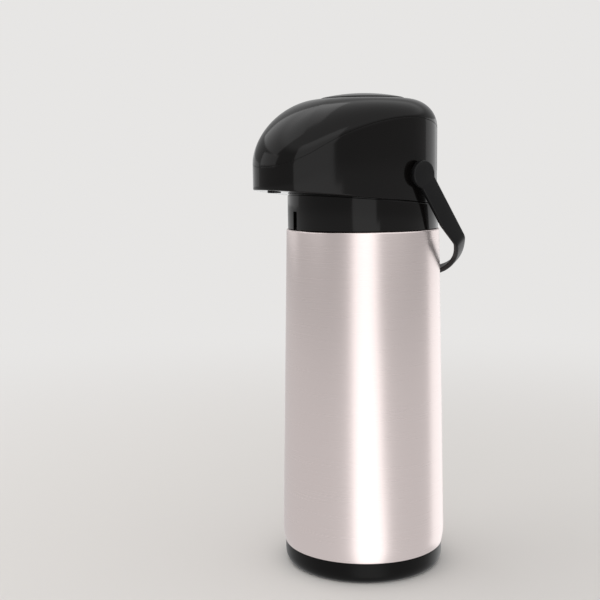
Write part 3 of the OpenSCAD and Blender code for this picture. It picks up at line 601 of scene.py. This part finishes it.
def make_head_shell():
    """Walls and sloped floor of the head, and the hubs that carry the bail."""
    foot, edge, floor = 1.2 * MM, 0.35 * MM, HEAD_WALL / math.cos(SEAM_TILT)

    def ring(inset, high, lift):
        points = outline(inset)
        return [Vector((p.x, p.y, (arch_at(p.y) if high else seam_at(p.y)) + lift)) for p in points]

    def bore(lift):
        return [Vector((p.x, p.y, seam_at(p.y) + lift)) for p in circle_like(outline(0), FLOOR_BORE_R)]
    rings = [bore(floor), bore(0)]
    rings += [ring(foot * (1 - s), False, foot * (1 - c)) for s, c in quarter()]
    rings += [ring(0, True, -down) for down in (14 * MM, 3 * MM)]
    rings += [ring(edge * (1 - c), True, -edge * (1 - s)) for s, c in quarter()]
    rings += [ring(HEAD_WALL, True, 0), ring(HEAD_WALL, False, floor)]
    shell = loft("head_wall", rings)
    nozzle_reach, pivot_reach, peg_hole_r = 20 * MM, 80 * MM, PEG_R + 0.05 * MM
    nozzle_place = Vector((0, -NOZZLE_Y, 0))
    cut_away(shell, turned_peg("cut", NOZZLE_R + SEAT_GAP, SEAM_Z - nozzle_reach, SEAM_Z + nozzle_reach,
                               nozzle_place, "Z"))
    cut_away(shell, turned_peg("cut", peg_hole_r, -pivot_reach, pivot_reach, PIVOT, "X"))
    put(shell, "head", "black_gloss", GLOSS, "head_shell")
    hub_root = 50 * MM
    profile = [(peg_hole_r, hub_root, 0), (HUB_R, hub_root, 0.3 * MM), (HUB_R, HUB_X, 0.5 * MM),
               (peg_hole_r, HUB_X, 0.3 * MM)]
    for side, name in ((1, "right"), (-1, "left")):
        hub = lathe("bail_hub_" + name, rounded(profile), segments=SMALL_SEGMENTS)
        turn_to_side(hub, side)
        put(hub, "head", "black_gloss", GLOSS)


def turned_peg(name, radius, low, high, place, axis):
    """Round bar from low to high along an axis through a place."""
    corners = ((0, low), (radius, low), (radius, high), (0, high))
    peg = lathe(name, [Vector(p) for p in corners], segments=SMALL_SEGMENTS)
    if axis == "X":
        peg.data.transform(Matrix.Rotation(math.pi / 2, 4, "Y"))
    peg.data.transform(Matrix.Translation(place))
    return peg


def turn_to_side(piece, side):
    """Lays a piece turned about Z along the pivot's axis, on the +X or the -X side."""
    piece.data.transform(Matrix.Translation(PIVOT) @ Matrix.Rotation(side * math.pi / 2, 4, "Y"))


def make_cover():
    """Arched cover with its lip and underside, a superellipse from parting line to button opening."""
    rim, lip, inner = outline(0), outline(LIP_IN), outline(LIP_IN + LIP_WALL)
    hole = circle_like(rim, OPEN_R)

    def dome(edge, low, high):
        rings = []
        for k in range(ROOF_RINGS + 1):
            b = math.pi / 2 * k / ROOF_RINGS
            ring = []
            for j, (e, h) in enumerate(zip(edge, hole)):
                to_back = (1 - math.cos(2 * math.pi * j / OUTLINE_POINTS)) / 2
                power = ROOF_FRONT + (ROOF_BACK - ROOF_FRONT) * to_back
                t, rise = max(math.cos(b), 0) ** (2 / power), math.sin(b) ** (2 / power)
                p, z0 = h + (e - h) * t, arch_at(e.y) + low
                ring.append(Vector((p.x, p.y, z0 + (high - z0) * rise)))
            rings.append(ring)
        return rings
    outer = dome(rim, ROOF_GAP, ROOF_Z)
    under = dome(inner, ROOF_GAP, ROOF_Z - ROOF_WALL)
    lip_rings = [[Vector((p.x, p.y, arch_at(p.y) + ROOF_GAP - down)) for p in points]
                 for points, down in ((inner, LIP_H), (lip, LIP_H), (lip, 0))]
    put(loft("roof_cover", under[::-1] + lip_rings + outer), "head", "black_gloss", GLOSS, "top_cover")


def make_button():
    """Low domed button with a skirt and a stem that presses the bellows' cap."""
    skirt_in, rim_z, rim_drop = BUTTON_R - 2 * MM, ROOF_Z + BUTTON_RIM, 0.2 * MM
    under = ROOF_Z - 2.4 * MM
    stem_r, stem_in, stem_z = 8 * MM, 5.1 * MM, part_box("bellows_cap")[1].z + SEAT_GAP
    crown_share, steps = 0.95, 14
    shares = [crown_share * k / steps for k in range(steps + 1)]
    crown = [(BUTTON_R * t, BUTTON_TOP - (BUTTON_TOP - rim_z) * t**2, 0) for t in shares]
    profile = [*crown, (BUTTON_R, rim_z - rim_drop, 0.8 * MM), (BUTTON_R, BUTTON_SKIRT_Z, 0.4 * MM),
               (skirt_in, BUTTON_SKIRT_Z, 0.4 * MM), (skirt_in, under, 0.5 * MM), (stem_r, under, 0.5 * MM),
               (stem_r, stem_z, 0.3 * MM), (stem_in, stem_z, 0.3 * MM), (stem_in, under, 0), (0, under, 0)]
    put(lathe("button", rounded(profile)), "button", "black_gloss", GLOSS, "press_button")


def make_nozzle():
    """Short tube through the floor of the nose, with a flange that rests on it."""
    lo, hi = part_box("nozzle")
    flange_r, flange_t = hi.x, 1 * MM
    floor_top = seam_at(-NOZZLE_Y - flange_r) + HEAD_WALL / math.cos(SEAM_TILT)
    flange_z = floor_top + SEAT_GAP
    bore_r = NOZZLE_R - NOZZLE_WALL
    end_edge, edge = 0.5 * MM, 0.3 * MM
    profile = [(bore_r, lo.z, end_edge), (NOZZLE_R, lo.z, end_edge), (NOZZLE_R, flange_z, 0),
               (flange_r, flange_z, edge), (flange_r, flange_z + flange_t, edge),
               (NOZZLE_R, flange_z + flange_t, 0), (NOZZLE_R, hi.z, edge), (bore_r, hi.z, edge)]
    spout = lathe("spout_nozzle", rounded(profile), segments=SMALL_SEGMENTS)
    spout.data.transform(Matrix.Translation((0, -NOZZLE_Y, 0)))
    put(spout, "head", "black_satin", SATIN, "nozzle")


def make_riser():
    """Plain tube with rounded ends."""
    z0, z1, out_r = ring_size("riser_tube")
    in_r, edge = out_r - 1.5 * MM, 0.4 * MM
    profile = [(in_r, z0, edge), (out_r, z0, edge), (out_r, z1, edge), (in_r, z1, edge)]
    tube = lathe("riser", rounded(profile), segments=SMALL_SEGMENTS)
    put(tube, "head", "tube_plastic", TUBE, "riser_tube")


# Pump

def make_pump():
    """Bellows and spring, which the button squeezes on the real pot, each given a mesh of its own, and the
    vent's plug.
    """
    z0, z1, out_r = ring_size("bellows")
    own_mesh(make_bellows(z0, z1, out_r))
    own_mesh(make_spring())
    make_vent_plug()


def make_bellows(z0, z1, out_r):
    """Thin folded wall between two plain ends."""
    folds, fold_steps, seat, wall = 5, 16, 2 * MM, 1.2 * MM
    in_r = out_r - 7 * MM
    count = fold_steps * folds
    stretch = z1 - z0 - 2 * seat

    def side(inset):
        waves = [0.5 - 0.5 * math.cos(2 * math.pi * k / fold_steps) for k in range(count + 1)]
        return [(in_r + (out_r - in_r) * wave - inset, z0 + seat + stretch * k / count)
                for k, wave in enumerate(waves)]
    profile = [(in_r - wall, z0), (in_r, z0), *side(0), (in_r, z1), (in_r - wall, z1), *side(wall)[::-1]]
    return put(lathe("pump_bellows", [Vector(p) for p in profile]), "head", "rubber", RUBBER, "bellows")


def make_vent_plug():
    """Small plug with a flat head."""
    z0, z1, head_r = ring_size("vent_plug")
    stem_r, head_z, edge = 2.5 * MM, z1 - 1.2 * MM, 0.3 * MM
    profile = [(0, z0, 0), (stem_r, z0, 0.4 * MM), (stem_r, head_z, 0), (head_r, head_z, edge),
               (head_r, z1, edge), (0, z1, 0)]
    put(lathe("vent_stopper", rounded(profile), segments=64), "button", "rubber", RUBBER, "vent_plug")


def make_spring():
    """Return spring: one round wire wound evenly."""
    lo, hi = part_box("return_spring")
    turns, wire, steps, sides = 6, 0.9 * MM, 48, 14
    radius = hi.x - wire
    rings = []
    for i in range(turns * steps + 1):
        a = 2 * math.pi * i / steps
        z = lo.z + wire + (hi.z - lo.z - 2 * wire) * i / (turns * steps)
        ring = []
        for j in range(sides):
            b = 2 * math.pi * j / sides
            r = radius + wire * math.cos(b)
            ring.append(Vector((r * math.cos(a), r * math.sin(a), z + wire * math.sin(b))))
        rings.append(ring)
    coil = loft("pump_spring", rings, closed=False)
    return put(coil, "head", "hardware", HARDWARE, "return_spring")


# Bail

def bail_stations():
    """Middle line of half the strip, from the round end to the middle of the grip.

    Each station is its x, its distance q from the pivot and the angle of the strip's normal.
    """
    grip_q, corner_x = BAIL_L - BAIL_T / 2, ARM_X - BAIL_CORNER_R
    drop = ARM_L - grip_q
    bow = (BAIL_CORNER_R**2 - corner_x**2 - drop**2) / (2 * (drop + BAIL_CORNER_R))
    bow_q = grip_q - bow
    meet = math.atan2(ARM_L - bow_q, corner_x)
    tip_skip, tip_steps, disc_steps, arm_steps, corner_steps, bow_steps = 0.4, 16, 12, 20, 16, 24
    line = []
    for k in range(tip_steps + 1):
        a = math.pi / 2 * (k + tip_skip) / (tip_steps + tip_skip)
        line.append((ARM_X, -BAIL_END_R * math.cos(a), 0))
    line += [(ARM_X, BAIL_END_R * math.sin(math.pi / 2 * k / disc_steps), 0)
             for k in range(1, disc_steps + 1)]
    line += [(ARM_X, BAIL_END_R + (ARM_L - BAIL_END_R) * k / arm_steps, 0) for k in range(1, arm_steps)]
    for k in range(corner_steps + 1):
        a = meet * k / corner_steps
        line.append((corner_x + BAIL_CORNER_R * math.cos(a), ARM_L + BAIL_CORNER_R * math.sin(a), a))
    for k in range(1, bow_steps + 1):
        a = meet + (math.pi / 2 - meet) * k / bow_steps
        line.append((bow * math.cos(a), bow_q + bow * math.sin(a), a))
    return line


def bail_edges(q):
    """Lower and upper edge of the strip at a distance q from the pivot."""
    half = BAIL_W / 2
    if q < BAIL_END_R:
        disc = math.sqrt(max(BAIL_END_R**2 - q**2, 0))
        half = disc if q < 0 else max(disc, half)
    taper = max(0, min(1, (q - ARM_L + TAPER_L) / (2 * TAPER_L)))
    return -half + taper * (BAIL_W - GRIP_W), half


def bail_ring(x, q, normal, mirror):
    """Rounded section of the strip at a station, in the part's frame."""
    low, high = bail_edges(q)
    edge = min(BAIL_EDGE, (high - low) * 0.45)
    half = BAIL_T / 2
    corners = [(-half, low, edge), (half, low, edge), (half, high, edge), (-half, high, edge)]
    section = rounded(corners, steps=4)
    turn = Matrix.Rotation(BAIL_REST - math.pi / 2, 4, "X")
    ring = []
    for off, n in section:
        px, pq = x + off * math.cos(normal), q + off * math.sin(normal)
        ring.append(PIVOT + turn @ Vector((mirror * px, pq, n)))
    return ring


def make_bail():
    """Strip of the bail and the pegs on which it turns."""
    half = bail_stations()
    rings = [bail_ring(x, q, a, 1) for x, q, a in half]
    rings += [bail_ring(x, q, a, -1) for x, q, a in reversed(half[:-1])]
    strip = loft("bail", rings, closed=False)
    put(strip, "bail", "black_satin", SATIN, "bail_handle")
    profile = [(0, PEG_IN_X, 0), (PEG_R, PEG_IN_X, 0.5 * MM), (PEG_R, ARM_X, 0), (0, ARM_X, 0)]
    for side, name in ((1, "right"), (-1, "left")):
        peg = lathe("bail_peg_" + name, rounded(profile), segments=SMALL_SEGMENTS)
        turn_to_side(peg, side)
        put(peg, "bail", "black_satin", SATIN)


# CAD nodes that stay as they are

def dress_nodes():
    """Materials of the solids that show as they are."""
    slots = {s["node"]: s["material_slot"] for s in frame["record"]["subparts"]}
    finishes = {"black_gloss": GLOSS, "black_satin": SATIN, "steel": STEEL, "flask_glass": GLASS,
                "rubber": RUBBER, "tube_plastic": TUBE, "hardware": HARDWARE}
    for name, node in frame["nodes"].items():
        node.data.materials.clear()
        node.data.materials.append(finishes[slots[name]])


# Stage

BACKDROP = (0.80, 0.79, 0.78)
GROUND_LIGHT, HORIZON_LIGHT, OVERHEAD_LIGHT = 0.66, 0.47, 1.12
GROUND_RISE, OVERHEAD_RISE = (-0.11, -0.015), (0.44, 0.66)
OVERHEAD_TILT = (0.364, 0.064, 1)


def camera_axes():
    """Right, up and forward of the camera in the part's frame."""
    cy, sy = math.cos(CAMERA_YAW), math.sin(CAMERA_YAW)
    cp, sp = math.cos(CAMERA_PITCH), math.sin(CAMERA_PITCH)
    cr, sr = math.cos(CAMERA_ROLL), math.sin(CAMERA_ROLL)
    forward = Vector((sy * cp, cy * cp, -sp))
    right = Vector((cy, -sy, 0))
    up = right.cross(forward)
    ca, sa = math.cos(CAMERA_ROUND), math.sin(CAMERA_ROUND)
    turn = Matrix(((sa, -ca, 0), (ca, sa, 0), (0, 0, 1)))
    return turn @ (cr * right + sr * up), turn @ (cr * up - sr * right), turn @ forward


def make_camera():
    """Camera at the place and aim of the photograph's."""
    data = bpy.data.cameras.new("camera")
    data.sensor_width, data.lens = SENSOR, LENS
    camera = bpy.data.objects.new("camera", data)
    bpy.context.scene.collection.objects.link(camera)
    right, up, forward = camera_axes()
    place = Vector((math.cos(CAMERA_ROUND), -math.sin(CAMERA_ROUND), 0)) * CAMERA_DISTANCE
    place.z = CAMERA_HEIGHT
    axes = Matrix((right, up, -forward)).transposed().to_4x4()
    camera.matrix_world = Matrix.Translation(place) @ axes
    bpy.context.scene.camera = camera


def softbox(name, round_angle, distance, low, high, width, radiance, lean=0):
    """Rectangular light facing the body, at an angle round it from the camera to its right.

    Upright it spans two heights; leaning, it turns about its middle to look down by that many degrees.
    Its radiance is that of its face, so it looks as bright at any size.
    """
    data = bpy.data.lights.new(name, "AREA")
    data.shape, data.size, data.size_y = "RECTANGLE", width, high - low
    data.energy = radiance * math.pi * width * (high - low)
    lamp = bpy.data.objects.new(name, data)
    bpy.context.scene.collection.objects.link(lamp)
    a = CAMERA_ROUND - math.radians(round_angle)
    lamp.location = (math.cos(a) * distance, -math.sin(a) * distance, (low + high) / 2)
    facing = Vector((-math.cos(a), math.sin(a), 0)).to_track_quat("-Z", "Y").to_matrix()
    lamp.rotation_euler = (facing @ Matrix.Rotation(math.radians(-lean), 3, "X")).to_euler()
    lamp.visible_camera = False


def make_lights():
    """Boxes in front from high to low, strips behind, a box on the left and one leaning over from there."""
    softbox("front_softbox", 2.8, 1.9, 0.05, 1.5, 1.21, 1.0)
    softbox("front_low_softbox", 5.6, 1.9, -0.45, 0.05, 1.38, 1.0)
    softbox("front_foot_softbox", 9.5, 1.9, -2.4, -0.45, 1.62, 1.0)
    softbox("right_rim", 135, 1.5, -0.75, 0.54, 1.32, 0.62)
    softbox("left_rim", -136, 1.5, 0.24, 0.54, 1.35, 0.42)
    softbox("back_strip", 180, 1.5, -0.3, 0.3, 0.9, 0.4)
    softbox("left_softbox", -83, 1.3, 0.45, 0.95, 1.15, 0.85)
    softbox("high_left_softbox", -105, 0.75, 0.75, 1.85, 1.8, 0.85, lean=52)


def world_step(nodes, links, height, between, low, high):
    """Smooth change of brightness between two heights of the sky's unit sphere."""
    step = nodes.new("ShaderNodeMapRange")
    step.interpolation_type = "SMOOTHSTEP"
    step.inputs["From Min"].default_value, step.inputs["From Max"].default_value = between
    step.inputs["To Min"].default_value = low
    step.inputs["To Max"].default_value = high
    links.new(height, step.inputs["Value"])
    return step.outputs["Result"]


def make_world():
    """Light that is dim round the horizon and broad and bright overhead, behind a plain pale backdrop."""
    world = bpy.data.worlds.new("world")
    bpy.context.scene.world = world
    world.use_nodes = True
    nodes, links = world.node_tree.nodes, world.node_tree.links
    light, back = nodes["Background"], nodes.new("ShaderNodeBackground")
    place, axes = nodes.new("ShaderNodeTexCoord"), nodes.new("ShaderNodeSeparateXYZ")
    links.new(place.outputs["Generated"], axes.inputs["Vector"])
    tilted = nodes.new("ShaderNodeVectorMath")
    tilted.operation = "DOT_PRODUCT"
    tilted.inputs[1].default_value = OVERHEAD_TILT
    links.new(place.outputs["Generated"], tilted.inputs[0])
    gain = OVERHEAD_LIGHT - HORIZON_LIGHT
    above = world_step(nodes, links, tilted.outputs["Value"], OVERHEAD_RISE, 0, gain)
    below = world_step(nodes, links, axes.outputs["Z"], GROUND_RISE, GROUND_LIGHT, HORIZON_LIGHT)
    both = nodes.new("ShaderNodeMath")
    links.new(above, both.inputs[0])
    links.new(below, both.inputs[1])
    links.new(both.outputs["Value"], light.inputs["Strength"])
    light.inputs["Color"].default_value = (1, 1, 1, 1)
    back.inputs["Color"].default_value = (*BACKDROP, 1)
    path, mix = nodes.new("ShaderNodeLightPath"), nodes.new("ShaderNodeMixShader")
    links.new(path.outputs["Is Camera Ray"], mix.inputs["Fac"])
    links.new(light.outputs[0], mix.inputs[1])
    links.new(back.outputs[0], mix.inputs[2])
    links.new(mix.outputs[0], nodes["World Output"].inputs["Surface"])


def make_floor():
    """Pale floor that fades into the backdrop away from the object."""
    reach, fade_from, fade_to = 30.0, 0.2, 1.2
    corners = [(-reach, -reach, 0), (reach, -reach, 0), (reach, reach, 0), (-reach, reach, 0)]
    mesh = bpy.data.meshes.new("floor")
    mesh.from_pydata(corners, [], [(0, 1, 2, 3)])
    floor = bpy.data.objects.new("floor", mesh)
    bpy.context.scene.collection.objects.link(floor)
    material, nodes, links = new_material("floor")
    shader = nodes["Principled BSDF"]
    shader.inputs["Base Color"].default_value = (0.62, 0.60, 0.58, 1)
    shader.inputs["Roughness"].default_value = 0.8
    shader.inputs["Specular IOR Level"].default_value = 0.1
    glow = nodes.new("ShaderNodeEmission")
    glow.inputs["Color"].default_value = (*BACKDROP, 1)
    place, length = nodes.new("ShaderNodeTexCoord"), nodes.new("ShaderNodeVectorMath")
    length.operation = "LENGTH"
    fade = nodes.new("ShaderNodeMapRange")
    fade.interpolation_type = "SMOOTHSTEP"
    fade.inputs["From Min"].default_value = fade_from
    fade.inputs["From Max"].default_value = fade_to
    mix = nodes.new("ShaderNodeMixShader")
    links.new(place.outputs["Object"], length.inputs[0])
    links.new(length.outputs["Value"], fade.inputs["Value"])
    links.new(fade.outputs["Result"], mix.inputs["Fac"])
    links.new(shader.outputs[0], mix.inputs[1])
    links.new(glow.outputs[0], mix.inputs[2])
    links.new(mix.outputs[0], nodes["Material Output"].inputs["Surface"])
    mesh.materials.append(material)
    floor.visible_glossy = False
    floor.visible_shadow = False


make_camera()
make_world()
make_floor()
make_lights()
bpy.context.scene.view_settings.view_transform = "Standard"

dress_nodes()
make_steel()
make_base()
make_flask()
make_neck_ring()
make_mouth_seal()
make_neck_gasket()
make_cushion()
make_collar()
make_head_shell()
make_cover()
make_button()
make_nozzle()
make_riser()
make_pump()
make_bail()
